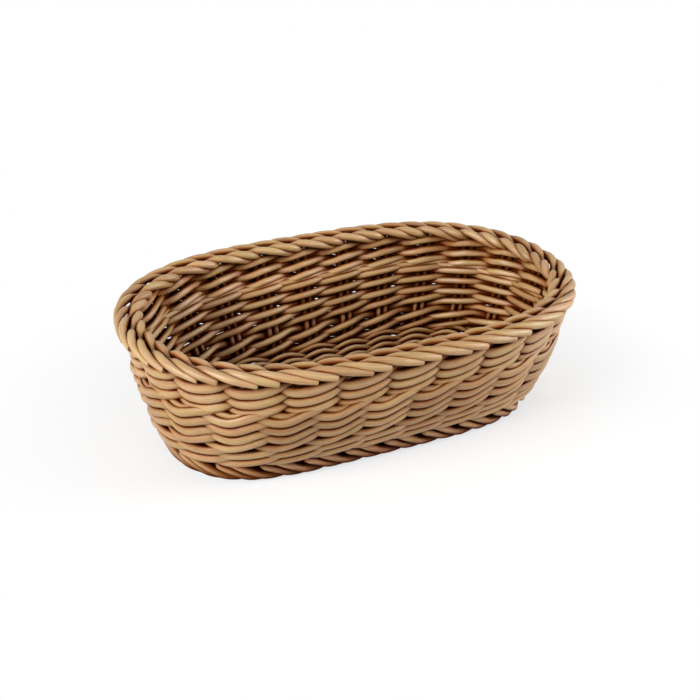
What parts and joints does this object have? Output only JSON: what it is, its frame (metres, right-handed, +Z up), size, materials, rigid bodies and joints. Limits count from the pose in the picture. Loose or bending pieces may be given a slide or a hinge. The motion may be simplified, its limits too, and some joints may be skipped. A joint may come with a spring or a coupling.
{
  "type": "pastry basket",
  "caption": "Low oval woven basket with flaring sides, a plaited rim and a roped foot, for bread or pastry.",
  "frame": {"origin": "middle of the basket's outline, on the table that its foot stands on", "axes": "+X along the length, +Y across, +Z up out of the open top"},
  "size_m": [0.23, 0.148, 0.0702],
  "materials": {
    "cane": "matte"
  },
  "bodies": {
    "root": {"floor_sticks": "cane", "floor_weaver_1": "cane", "floor_weaver_2": "cane", "pairing_weaver_1": "cane", "pairing_weaver_2": "cane", "stake_01_left": "cane", "stake_01_right": "cane", "stake_02_left": "cane", "stake_02_right": "cane", "stake_03_left": "cane", "stake_03_right": "cane", "stake_04_left": "cane", "stake_04_right": "cane", "stake_05_left": "cane", "stake_05_right": "cane", "stake_06_left": "cane", "stake_06_right": "cane", "stake_07_left": "cane", "stake_07_right": "cane", "stake_08_left": "cane", "stake_08_right": "cane", "stake_09_left": "cane", "stake_09_right": "cane", "stake_10_left": "cane", "stake_10_right": "cane", "stake_11_left": "cane", "stake_11_right": "cane", "stake_12_left": "cane", "stake_12_right": "cane", "stake_13_left": "cane", "stake_13_right": "cane", "stake_14_left": "cane", "stake_14_right": "cane", "stake_15_left": "cane", "stake_15_right": "cane", "stake_16_left": "cane", "stake_16_right": "cane", "stake_17_left": "cane", "stake_17_right": "cane", "stake_18_left": "cane", "stake_18_right": "cane", "stake_19_left": "cane", "stake_19_right": "cane", "stake_20_left": "cane", "stake_20_right": "cane", "stake_21_left": "cane", "stake_21_right": "cane", "stake_22_left": "cane", "stake_22_right": "cane", "stake_23_left": "cane", "stake_23_right": "cane", "stake_24_left": "cane", "stake_24_right": "cane", "upsett_weaver_1": "cane", "upsett_weaver_2": "cane", "upsett_weaver_3": "cane", "wale_weaver_1": "cane", "wale_weaver_2": "cane", "wale_weaver_3": "cane"}
  },
  "joints": []
}
